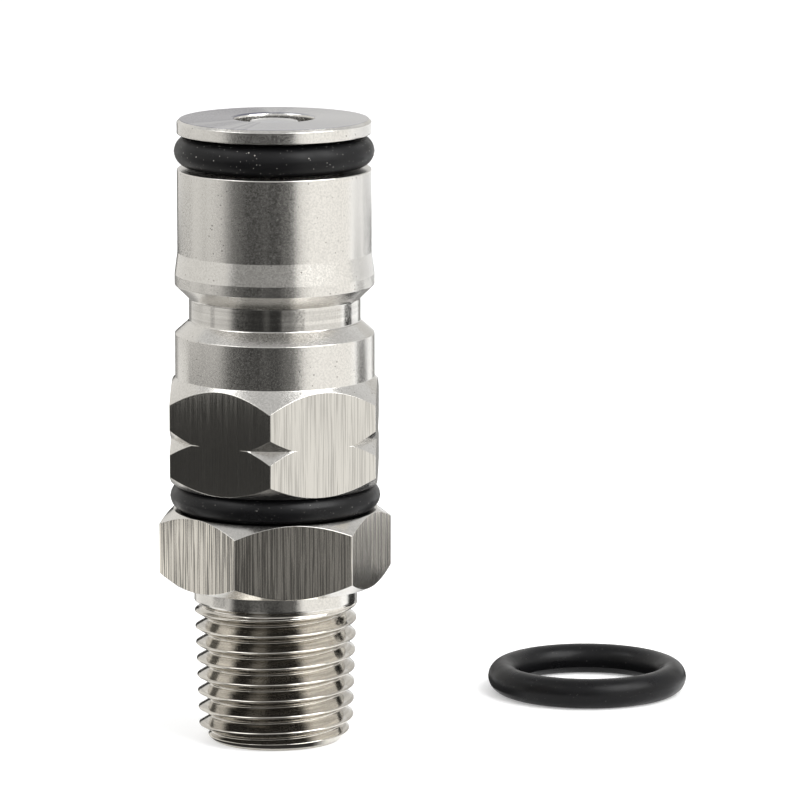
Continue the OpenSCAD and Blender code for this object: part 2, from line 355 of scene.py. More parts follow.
@dataclass(frozen=True)
class Brushed:
    """Bar steel whose drawn faces carry fine lines along the bar, with a few deeper ones.

    Depths are in millimetres, and scales in lines for each millimetre. The run is how fast
    a line changes along the bar, and the contrast is how much darker the lines are. The
    lines are also rougher than the bright steel between them.
    """

    name: str
    color: Color = (0.66, 0.64, 0.6)
    roughness: float = 0.17
    rough_span: Span = (0.35, 0.65)
    rough_line: float = 0.08
    rough_bright: float = 0.05
    stretch: float = 0.5
    run: float = 0.012
    line_scale: float = 12.0
    line_depth: float = 0.0008
    line_span: Span = (0.42, 0.52)
    line_jitter: float = 0.55
    streak_scale: float = 2.5
    streak_depth: float = 0.002
    contrast: float = 0.4

    def material(self) -> bpy.types.Material:
        """Builds the finish.

        Returns:
            Its node material.
        """
        made, graph, shader = blank_material(self.name, self.color)
        drawn = graph.take("ShaderNodeMapping", {
            "Vector": graph.place(), "Scale": (1 / MM, 1 / MM, self.run / MM)})
        lines = graph.noise(drawn, self.line_scale, roughness=self.line_jitter)
        streaks = graph.noise(drawn, self.streak_scale)
        graph.feed(shader, {
            "Base Color": graph.mix(graph.ramp(lines, self.line_span),
                                    toned(self.color, 1 - self.contrast), self.color),
            "Metallic": 1.0,
            "Roughness": graph.ramp(lines, self.rough_span, self.roughness + self.rough_line,
                                    self.roughness - self.rough_bright),
            "Normal": graph.relief((lines, self.line_depth), (streaks, self.streak_depth)),
            "Anisotropic": self.stretch, "Tangent": graph.tangent()})
        return made


@dataclass(frozen=True)
class Rubber:
    """Black moulded rubber, a little dusty.

    Scales are in waves for each metre. Specks come in two sizes, each given by its cells
    for each metre and by a speck's share of its cell.
    """

    name: str
    color: Color = (0.004, 0.004, 0.0045)
    roughness: float = 0.4
    gloss: float = 0.18
    grain_scale: float = 9000.0
    grain_depth: float = 0.003
    haze_scale: float = 500.0
    haze_detail: float = 4.0
    haze_span: Span = (0.3, 0.7)
    haze_below: float = 0.1
    haze_above: float = 0.12
    dust: float = 1.0
    dust_color: Color = (0.3, 0.29, 0.27)
    small_specks: Span = (3600.0, 0.16)
    large_specks: Span = (2000.0, 0.15)
    speck_core: float = 0.6
    speck_chance: Span = (0.6, 0.75)

    def material(self) -> bpy.types.Material:
        """Builds the finish.

        Returns:
            Its node material.
        """
        made, graph, shader = blank_material(self.name, self.color)
        place = graph.place()
        specks = graph.math("MAXIMUM", self.specks(graph, place, *self.large_specks),
                            self.specks(graph, place, *self.small_specks))
        haze = graph.noise(place, self.haze_scale, self.haze_detail)
        graph.feed(shader, {
            "Base Color": graph.mix(graph.math("MULTIPLY", specks, self.dust), self.color, self.dust_color),
            "Roughness": graph.ramp(haze, self.haze_span, self.roughness - self.haze_below,
                                    self.roughness + self.haze_above),
            "Specular IOR Level": self.gloss,
            "Normal": graph.relief((graph.noise(place, self.grain_scale), self.grain_depth))})
        return made

    def specks(self, graph: Graph, place: Socket, scale: float, size: float) -> Socket:
        """Scatters specks of one size.

        Args:
            graph: the tree.
            place: where each point is.
            scale: the cells for each metre.
            size: a speck's share of its cell.

        Returns:
            1 on a speck and 0 beside it.
        """
        cells = graph.node("ShaderNodeTexVoronoi", {"Vector": place, "Scale": scale, "Randomness": 1.0})
        chance = graph.take("ShaderNodeSeparateColor", {0: cells.outputs["Color"]})
        spot = graph.ramp(cells.outputs["Distance"], (self.speck_core * size, size), 1.0, 0.0)
        return graph.math("MULTIPLY", spot, graph.ramp(chance, self.speck_chance))


def blank_material(name: str, color: Color) -> tuple[bpy.types.Material, Graph, bpy.types.Node]:
    """Makes a material that has only its Principled shader.

    Args:
        name: the material's name.
        color: its colour in the viewport and before anything is linked.

    Returns:
        The material, its graph and its shader.
    """
    made = bpy.data.materials.new(name)
    made.use_nodes = True
    made.diffuse_color = (*color, 1.0)
    shader = next(n for n in made.node_tree.nodes if n.type == "BSDF_PRINCIPLED")
    shader.inputs["Base Color"].default_value = (*color, 1.0)
    return made, Graph(made.node_tree), shader


def toned(color: Color, share: float) -> Color:
    """Returns a colour at a share of its brightness."""
    return tuple(share * c for c in color)


# Turned skins


@dataclass(frozen=True)
class Corner:
    """A corner of a turned outline, and how far it is rounded."""

    r: float
    z: float
    ease: float = 0.06


@dataclass(frozen=True)
class HexBar:
    """A hexagonal bar seen along its axis."""

    turn: float
    face_r: float = 8.73
    corner_ease: float = 0.14
    face_columns: int = 24
    ease_steps: int = 4

    def columns(self) -> list[Column]:
        """Spreads columns of points over the flats and round the corners.

        Returns:
            The angle of each column, in radians, and the bar's radius there.
        """
        inner = self.face_r - self.corner_ease
        half = inner * math.tan(math.radians(30))
        across = [half * (2 * i / (self.face_columns - 1) - 1) for i in range(self.face_columns)]
        across = [across[0] + GUARD, *across[1:-1], across[-1] - GUARD]
        found: list[Column] = []
        for side in range(6):
            start = math.radians(self.turn + 60 * side)
            for step in range(self.ease_steps + 1):
                lean = math.radians(60 * step / self.ease_steps - 30)
                x = inner / math.cos(math.radians(30)) + self.corner_ease * math.cos(lean)
                y = self.corner_ease * math.sin(lean)
                found.append((start + math.atan2(y, x), math.hypot(x, y)))
            middle = start + math.radians(30)
            found += [(middle + math.atan2(y, self.face_r), math.hypot(y, self.face_r)) for y in across]
        return found


def round_columns(count: int = 128) -> list[Column]:
    """Returns evenly spaced columns for a piece with no hexagon, as many as count says."""
    return [(2 * math.pi * i / count, 0.0) for i in range(count)]


def eased(corners: Sequence[Corner], steps: int = 3) -> list[Point]:
    """Rounds the corners of an outline, all but the first and the last.

    Args:
        corners: the outline.
        steps: how many pieces each rounding has.

    Returns:
        Points, as many for each corner whatever its shape.
    """
    least, most, strip = 0.01, 0.4, 0.05
    points: list[Point] = [(corners[0].r, corners[0].z)]
    for before, at, after in zip(corners, corners[1:], corners[2:]):
        back, ahead = (math.hypot(c.r - at.r, c.z - at.z) for c in (before, after))
        to_back = ((before.r - at.r) / back, (before.z - at.z) / back)
        to_ahead = ((after.r - at.r) / ahead, (after.z - at.z) / ahead)
        fold = to_back[0] * to_ahead[0] + to_back[1] * to_ahead[1]
        bend = math.pi - math.acos(max(-1.0, min(1.0, fold)))
        reach = min(max(at.ease * math.tan(bend / 2), least), most * back, most * ahead)
        guard = min(GUARD, strip * back, strip * ahead)
        points.append((at.r + to_back[0] * (reach + guard), at.z + to_back[1] * (reach + guard)))
        for step in range(steps + 1):
            s = step / steps
            pull, push = reach * (1 - s) ** 2, reach * s ** 2
            points.append((at.r + to_back[0] * pull + to_ahead[0] * push,
                           at.z + to_back[1] * pull + to_ahead[1] * push))
        points.append((at.r + to_ahead[0] * (reach + guard), at.z + to_ahead[1] * (reach + guard)))
    return points + [(corners[-1].r, corners[-1].z)]


class Shell:
    """A closed skin that is put together from bands round the axis."""

    def __init__(self) -> None:
        """Starts with nothing."""
        self.mesh = bmesh.new()

    def band(self, columns: Sequence[Column], outline: Callable[[float], list[Point]],
             closed: bool = False, center: Point = (0.0, 0.0)) -> tuple[Ring, Ring]:
        """Adds a band: one line of points at each column, and faces between them.

        Args:
            columns: the angles, each with the bar's radius there.
            outline: gives the points of a column from the bar's radius.
            closed: whether the outline runs back to its first point.
            center: the axis that the band goes round.

        Returns:
            The band's first and last ring.
        """
        rings = []
        for angle, bar_r in columns:
            rings.append([self.mesh.verts.new(((center[0] + r * math.cos(angle)) * MM,
                                               (center[1] + r * math.sin(angle)) * MM, z * MM))
                          for r, z in outline(bar_r)])
        rows = len(rings[0])
        for here, there in zip(rings, rings[1:] + rings[:1]):
            for k in range(rows if closed else rows - 1):
                n = (k + 1) % rows
                self.mesh.faces.new((here[k], there[k], there[n], here[n]))
        return [ring[0] for ring in rings], [ring[-1] for ring in rings]

    def add(self, part: bpy.types.Mesh, skin: Skin) -> tuple[Ring, Ring]:
        """Adds a tube that was made elsewhere.

        Args:
            part: the tube's mesh, open at both ends.
            skin: its finish.

        Returns:
            The rings at its low and at its high end.
        """
        known = len(self.mesh.verts)
        faces = len(self.mesh.faces)
        self.mesh.from_mesh(part)
        self.mesh.verts.ensure_lookup_table()
        self.mesh.faces.ensure_lookup_table()
        for face in self.mesh.faces[faces:]:
            face.material_index = skin.value
        fresh = self.mesh.verts[known:]
        bmesh.ops.delete(self.mesh, geom=[v for v in fresh if not v.link_faces], context="VERTS")
        open_edges = [e for e in self.mesh.edges if len(e.link_faces) == 1]
        ends = {v for e in open_edges for v in e.verts if v.index >= known}
        middle = sum(v.co.z for v in ends) / len(ends)
        bpy.data.meshes.remove(part)
        return [v for v in ends if v.co.z < middle], [v for v in ends if v.co.z >= middle]

    def zip(self, first: Ring, second: Ring) -> None:
        """Joins two rings round the axis that may have different numbers of points.

        Args:
            first: one ring.
            second: the other ring.
        """
        rings = []
        for ring in (first, second):
            marked = sorted((math.atan2(v.co.y, v.co.x), v.index, v) for v in ring)
            rings.append([(a, v) for a, _, v in marked] + [(marked[0][0] + 2 * math.pi, marked[0][2])])
        (one, two), i, j = rings, 0, 0
        while i < len(one) - 1 or j < len(two) - 1:
            if j == len(two) - 1 or (i < len(one) - 1 and one[i + 1][0] <= two[j + 1][0]):
                self.mesh.faces.new((one[i][1], one[i + 1][1], two[j][1]))
                i += 1
            else:
                self.mesh.faces.new((one[i][1], two[j + 1][1], two[j][1]))
                j += 1

    def paint_flats(self, bar: HexBar, low: float, high: float) -> None:
        """Gives the bar's flat faces the brushed finish, and leaves its eased edges turned.

        Args:
            bar: the hexagon.
            low: the height from which they are painted.
            high: the height up to which they are painted.
        """
        near, lean = 0.004, 0.02
        sides = [math.radians(bar.turn + 30 + 60 * k) for k in range(6)]
        outward = [Vector((math.cos(a), math.sin(a), 0.0)) for a in sides]
        for face in self.mesh.faces:
            middle = face.calc_center_median()
            if low * MM < middle.z < high * MM:
                depth = max(middle.dot(n) for n in outward)
                if abs(depth - bar.face_r * MM) < near * MM and abs(face.normal.z) < lean:
                    face.material_index = Skin.BRUSHED.value

    def paint_zone(self, low: float, high: float, inner: float, outer: float, skin: Skin) -> None:
        """Gives the faces between two heights and two radii one finish.

        Args:
            low: the lower height.
            high: the upper height.
            inner: the smaller radius.
            outer: the larger radius.
            skin: the finish.
        """
        for face in self.mesh.faces:
            middle = face.calc_center_median()
            if low * MM < middle.z < high * MM and inner * MM < middle.xy.length < outer * MM:
                face.material_index = skin.value

    def finish(self, name: str, finishes: Sequence[bpy.types.Material]) -> bpy.types.Object:
        """Turns the skin into an object.

        Args:
            name: the piece's name.
            finishes: its materials, in the order of Skin.

        Returns:
            The piece.
        """
        bmesh.ops.recalc_face_normals(self.mesh, faces=self.mesh.faces)
        open_edges = sum(1 for e in self.mesh.edges if len(e.link_faces) != 2)
        if open_edges:
            log.warning("%s has %d open edges", name, open_edges)
        made = bpy.data.meshes.new(name)
        self.mesh.to_mesh(made)
        self.mesh.free()
        made.shade_smooth()
        return piece(name, made, finishes)


def piece(name: str, mesh: bpy.types.Mesh, finishes: Sequence[bpy.types.Material]) -> bpy.types.Object:
    """Makes a mesh an object of the scene.

    Args:
        name: the piece's name.
        mesh: its mesh, already in place.
        finishes: its materials.

    Returns:
        The piece.
    """
    for finish in finishes:
        mesh.materials.append(finish)
    made = bpy.data.objects.new(name, mesh)
    bpy.context.scene.collection.objects.link(made)
    return made


# Threads


@dataclass(frozen=True)
class Thread:
    """A right-handed thread of 60 degrees between two heights.

    Crest and root are the flat shares of each turn. The radii at its two ends are where
    its chamfers begin, the taper is the cone's growth with height, and over the fade
    below its upper end the grooves run out.
    """

    low: float
    high: float
    crest_r: float
    depth: float
    low_r: float
    high_r: float
    start: float
    taper: float = 0.0
    pitch: float = 1.4111
    crest: float = 0.07
    root: float = 0.05
    fade: float = 0.001
    inside: bool = False
    columns: int = 128
    rows: int = 24


def thread_tree() -> GrownMesh:
    """Builds the tree that winds one strip of thread and welds its turns together.

    Returns:
        The tree. Its lengths are in metres.
    """
    grown = GrownMesh("thread")
    low, high, crest_r, depth = (grown.size(n) for n in ("Low", "High", "Crest radius", "Depth"))
    low_r, high_r, start, taper = (grown.size(n) for n in ("Low radius", "High radius", "Start", "Taper"))
    pitch, crest, root, fade = (grown.size(n) for n in ("Pitch", "Crest share", "Root share", "Fade"))
    side, turns = grown.size("Side"), grown.size("Turns", "NodeSocketInt")
    columns, rows = grown.size("Columns", "NodeSocketInt"), grown.size("Rows", "NodeSocketInt")
    along = grown.math("ADD", grown.math("MULTIPLY", turns, columns), 1.0)
    strip = grown.take("GeometryNodeMeshGrid", {
        "Size X": 1.0, "Size Y": 1.0, "Vertices X": along, "Vertices Y": grown.math("ADD", rows, 1.0)})
    x, y, _ = grown.node("ShaderNodeSeparateXYZ", {0: grown.take("GeometryNodeInputPosition")}).outputs
    wound = grown.math("MULTIPLY", grown.math("ADD", x, 0.5), turns)
    share = grown.math("ADD", y, 0.5)
    rise = grown.math("MULTIPLY", grown.math("ADD", wound, share), pitch)
    height = grown.math("MINIMUM", grown.math("MAXIMUM", grown.math("ADD", rise, start), low), high)
    tent = grown.math("SUBTRACT", 1.0, grown.math("ABSOLUTE", grown.math(
        "SUBTRACT", grown.math("MULTIPLY", share, 2.0), 1.0)))
    flank = grown.math("SUBTRACT", grown.math("SUBTRACT", 1.0, crest), root)
    form = grown.take("ShaderNodeClamp", {0: grown.math(
        "DIVIDE", grown.math("SUBTRACT", tent, root), flank)})
    kept = grown.take("ShaderNodeClamp", {0: grown.math(
        "DIVIDE", grown.math("SUBTRACT", high, height), fade)})
    cut = grown.math("MULTIPLY", grown.math("MULTIPLY", depth, grown.math("SUBTRACT", 1.0, form)), kept)
    cone = grown.math("ADD", crest_r, grown.math("MULTIPLY", taper, height))
    radius = grown.math("SUBTRACT", cone, cut)
    for end_r, gone in ((low_r, grown.math("SUBTRACT", height, low)),
                        (high_r, grown.math("SUBTRACT", high, height))):
        chamfer = grown.math("ADD", end_r, grown.math("MULTIPLY", side, gone))
        radius = grown.math("MULTIPLY", side, grown.math(
            "MINIMUM", grown.math("MULTIPLY", side, radius), grown.math("MULTIPLY", side, chamfer)))
    angle = grown.math("MULTIPLY", wound, 2 * math.pi)
    wind = grown.take("GeometryNodeSetPosition", {
        "Geometry": strip, "Position": grown.on_circle(radius, angle, height)})
    grown.close(grown.take("GeometryNodeMergeByDistance", {"Geometry": wind, "Distance": WELD * MM}))
    return grown


def wind_thread(tree: GrownMesh, thread: Thread, finish: bpy.types.Material) -> bpy.types.Mesh:
    """Winds one thread.

    Args:
        tree: what thread_tree() gives.
        thread: the thread's sizes.
        finish: its material.

    Returns:
        An open tube from the thread's low end to its high end.
    """
    begin = thread.start
    while begin > thread.low - thread.pitch:
        begin -= thread.pitch
    return tree.bake({
        "Finish": finish, "Low": thread.low * MM, "High": thread.high * MM,
        "Crest radius": thread.crest_r * MM, "Depth": thread.depth * MM,
        "Low radius": thread.low_r * MM, "High radius": thread.high_r * MM,
        "Start": begin * MM, "Taper": thread.taper, "Pitch": thread.pitch * MM,
        "Crest share": thread.crest, "Root share": thread.root, "Fade": thread.fade * MM,
        "Side": -1.0 if thread.inside else 1.0,
        "Turns": math.ceil((thread.high - begin) / thread.pitch) + 1,
        "Columns": thread.columns, "Rows": thread.rows})


# Sub-assemblies


@dataclass
class BulkheadFitting:
    """The lower piece: tapered pipe end, hexagon and threaded stub, with the squeezed ring."""

    passage_r: float = 3.75
    mouth_ease: float = 0.25
    neck_r: float = 6.981
    hex_z: float = 13.7
    hex_top_z: float = 20.08
    chamfer_r: float = 8.7
    chamfer_slope: float = 1.05 / 1.3506
    bar: HexBar = HexBar(turn=10.0)
    pipe_thread: Thread = Thread(low=0.0, high=12.2, crest_r=6.6, depth=1.08, low_r=5.5, high_r=1000.0,
                                 start=-0.07, taper=0.03125, fade=0.8)
    stub_thread: Thread = Thread(low=22.88, high=30.78, crest_r=7.54, depth=0.866, low_r=5.95,
                                 high_r=6.66, start=22.0, crest=0.125, root=0.17)
    ring_mid_r: float = 7.495
    ring_z: float = 21.205
    ring_h: float = 2.19
    ring_w: float = 2.93
    neck_ease: float = 0.12
    seam_h: float = 0.15
    seam_w: float = 0.3
    paint_edge: float = 0.1

    def outline(self, bar_r: float) -> list[Point]:
        """Draws the outline from the neck to the relief.

        Args:
            bar_r: the bar's radius at this column.

        Returns:
            Its points, which start and end a seam's height beside the threads.
        """
        cut = (bar_r - self.chamfer_r) * self.chamfer_slope
        relief_r = self.stub_thread.low_r
        return eased([
            Corner(self.neck_r, self.pipe_thread.high + self.seam_h),
            Corner(self.neck_r, self.hex_z, self.neck_ease),
            Corner(self.chamfer_r, self.hex_z, SHARP), Corner(bar_r, self.hex_z + cut),
            Corner(bar_r, self.hex_top_z - cut), Corner(self.chamfer_r, self.hex_top_z, SHARP),
            Corner(relief_r, self.hex_top_z, FILLET), Corner(relief_r, self.stub_thread.low - self.seam_h)])

    def inner_outline(self, _bar_r: float) -> list[Point]:
        """Draws the outline from the stub's tip down the passage to the pipe end's mouth.

        Args:
            _bar_r: not used, because the passage is round.

        Returns:
            Its points, which start and end a seam's width inside the threads.
        """
        ease, tip_z = self.mouth_ease, self.stub_thread.high
        return eased([
            Corner(self.stub_thread.high_r - self.seam_w, tip_z), Corner(self.passage_r + ease, tip_z, SHARP),
            Corner(self.passage_r, tip_z - ease, SHARP), Corner(self.passage_r, ease, SHARP),
            Corner(self.passage_r + ease, 0.0, SHARP), Corner(self.pipe_thread.low_r - self.seam_w, 0.0)])

    def build(self, tree: GrownMesh, finishes: dict[Skin, bpy.types.Material]) -> bpy.types.Object:
        """Builds the fitting.

        Args:
            tree: the thread tree.
            finishes: the materials.

        Returns:
            The piece, riding on its body.
        """
        shell = Shell()
        hex_low, hex_high = shell.band(self.bar.columns(), self.outline)
        bore_top, bore_low = shell.band(round_columns(), self.inner_outline)
        shell.paint_flats(self.bar, self.hex_z, self.hex_top_z)
        shell.paint_zone(self.seam_w, self.stub_thread.high, 0.0, self.passage_r + self.paint_edge, Skin.BORE)
        pipe_low, pipe_high = shell.add(
            wind_thread(tree, self.pipe_thread, finishes[Skin.GLOSSY]), Skin.GLOSSY)
        stub_low, stub_high = shell.add(
            wind_thread(tree, self.stub_thread, finishes[Skin.GLOSSY]), Skin.GLOSSY)
        shell.zip(pipe_high, hex_low)
        shell.zip(hex_high, stub_low)
        shell.zip(stub_high, bore_top)
        shell.zip(bore_low, pipe_low)
        made = shell.finish("fitting_turned", list(finishes.values()))
        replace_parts(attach(made, "bulkhead"), "bulkhead_fitting")
        return made

    def build_ring(self, finish: bpy.types.Material) -> bpy.types.Object:
        """Builds the wall ring that is squeezed between the hexagons.

        Args:
            finish: the rubber.

        Returns:
            The piece, riding on its body.
        """
        flat = (self.ring_w - self.ring_h) / 2
        made = rubber_ring("wall_ring_squeezed", self.ring_mid_r, self.ring_h, self.ring_z, finish, flat)
        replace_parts(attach(made, "bulkhead"), "bulkhead_o_ring")
        return made


@dataclass
class GasPost:
    """The upper piece: hexagon with its turned V groove, collar, neck, barrel and top disc."""

    chamfer_r: float = 8.7
    chamfer_slope: float = 1.2 / 1.3506
    mark_z: float = 26.53
    mark_r: float = 9.15
    mark_slope: float = 1.06 / 0.9306
    collar_z: float = 31.56
    collar_r: float = 8.5
    top_slope: float = 1.8 / 1.5806
    collar_top_z: float = 35.28
    neck_r: float = 7.3
    neck_z: float = 36.35
    neck_top_z: float = 38.3
    land_z: float = 39.48
    land_top_z: float = 40.37
    barrel_r: float = 8.25
    barrel_z: float = 42.23
    barrel_top_z: float = 49.32
    groove_r: float = 5.81
    disc_z: float = 52.35
    top_z: float = 53.57
    disc_chamfer: float = 0.25
    crown: float = 0.1
    hole_ease: float = 0.28
    hole_r: float = 3.4
    seat_z: float = 52.2
    bore_r: float = 4.75
    bore_top_z: float = 50.85
    bore_z: float = 38.78
    chamber_r: float = 5.75
    chamber_top_z: float = 37.78
    snap_r: float = 6.25
    snap_top_z: float = 35.08
    snap_z: float = 34.28
    least_mark: float = 0.03
    flare_ease: float = 0.3
    foot_seam: float = 0.25
    shoulder_seam: float = 0.3
    paint_edge: float = 0.1
    snap_edge: float = 0.05
    rim_edge: float = 0.06
    face_edge: float = 0.03
    bar: HexBar = HexBar(turn=27.5)
    thread: Thread = Thread(low=22.33, high=30.98, crest_r=7.6, depth=0.8, low_r=7.85, high_r=7.6,
                            start=22.0, crest=0.125, root=0.224, inside=True)

    def outline(self, bar_r: float) -> list[Point]:
        """Draws the outline from the foot over the outside and down the inside to the shoulder.

        Args:
            bar_r: the bar's radius at this column.

        Returns:
            Its points, which start and end beside the inner thread.
        """
        foot_z, shoulder_z = self.thread.low, self.thread.high
        low = foot_z + (bar_r - self.chamfer_r) * self.chamfer_slope
        half = max((bar_r - self.mark_r) * self.mark_slope, self.least_mark)
        high = self.collar_z - (bar_r - self.collar_r) * self.top_slope
        return eased([
            Corner(self.thread.low_r + self.foot_seam, foot_z),
            Corner(self.chamfer_r, foot_z, SHARP), Corner(bar_r, low),
            Corner(bar_r, self.mark_z - half, CREASE), Corner(min(self.mark_r, bar_r), self.mark_z, CREASE),
            Corner(bar_r, self.mark_z + half, CREASE), Corner(bar_r, high),
            Corner(self.collar_r, self.collar_z), Corner(self.collar_r, self.collar_top_z, EASED),
            Corner(self.neck_r, self.neck_z, FILLET), Corner(self.neck_r, self.neck_top_z, FILLET),
            Corner(self.collar_r, self.land_z, CRISP), Corner(self.collar_r, self.land_top_z, CRISP),
            Corner(self.barrel_r, self.barrel_z, self.flare_ease),
            Corner(self.barrel_r, self.barrel_top_z, BROKEN),
            Corner(self.groove_r, self.barrel_top_z, FILLET), Corner(self.groove_r, self.disc_z, FILLET),
            Corner(self.barrel_r, self.disc_z, EASED),
            Corner(self.barrel_r, self.top_z - self.disc_chamfer, EASED),
            Corner(self.barrel_r - self.disc_chamfer, self.top_z, EASED),
            Corner(self.hole_r, self.top_z + self.crown, self.hole_ease), Corner(self.hole_r, self.seat_z),
            Corner(self.bore_r, self.bore_top_z), Corner(self.bore_r, self.bore_z),
            Corner(self.chamber_r, self.chamber_top_z), Corner(self.chamber_r, self.snap_top_z, SHARP),
            Corner(self.snap_r, self.snap_top_z), Corner(self.snap_r, self.snap_z),
            Corner(self.chamber_r, self.snap_z, SHARP), Corner(self.chamber_r, shoulder_z, BROKEN),
            Corner(self.thread.high_r - self.shoulder_seam, shoulder_z)])

    def build(self, tree: GrownMesh, finishes: dict[Skin, bpy.types.Material]) -> bpy.types.Object:
        """Builds the post.

        Args:
            tree: the thread tree.
            finishes: the materials.

        Returns:
            The piece, riding on its body.
        """
        shell = Shell()
        foot, shoulder = shell.band(self.bar.columns(), self.outline)
        shell.paint_flats(self.bar, self.thread.low, self.collar_z)
        shell.paint_zone(self.thread.high, self.top_z, 0.0, self.snap_r + self.snap_edge, Skin.BORE)
        shell.paint_zone(self.neck_z - self.paint_edge, self.neck_top_z + self.paint_edge,
                         self.snap_r + self.snap_edge, self.neck_r + self.paint_edge, Skin.GLOSSY)
        shell.paint_zone(self.top_z - self.face_edge, self.top_z + self.crown + self.paint_edge,
                         self.hole_r + self.rim_edge, self.barrel_r, Skin.FACED)
        low, high = shell.add(wind_thread(tree, self.thread, finishes[Skin.GLOSSY]), Skin.GLOSSY)
        shell.zip(low, foot)
        shell.zip(high, shoulder)
        made = shell.finish("post_turned", list(finishes.values()))
        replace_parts(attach(made, "post"), "post_body")
        return made


@dataclass
class LooseRings:
    """The ring in the post's groove and the spare ring on the floor."""

    section: float = 2.62
    post_mid_r: float = 7.18
    post_z: float = 50.835
    spare_mid_r: float = 7.495
    spare_center: Point = (27.7, 18.0)

    def build(self, finish: bpy.types.Material,
              spare_finish: bpy.types.Material) -> tuple[bpy.types.Object, bpy.types.Object]:
        """Builds both rings.

        Args:
            finish: the fitted ring's rubber.
            spare_finish: the spare ring's rubber.

        Returns:
            The fitted ring and the spare one, each riding on its body.
        """
        post = rubber_ring("barrel_ring", self.post_mid_r, self.section, self.post_z, finish)
        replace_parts(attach(post, "post_seal"), "post_o_ring")
        spare = rubber_ring("wall_ring_spare", self.spare_mid_r, self.section, self.section / 2,
                            spare_finish, center=self.spare_center)
        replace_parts(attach(spare, "spare_ring"), "spare_o_ring")
        return post, spare


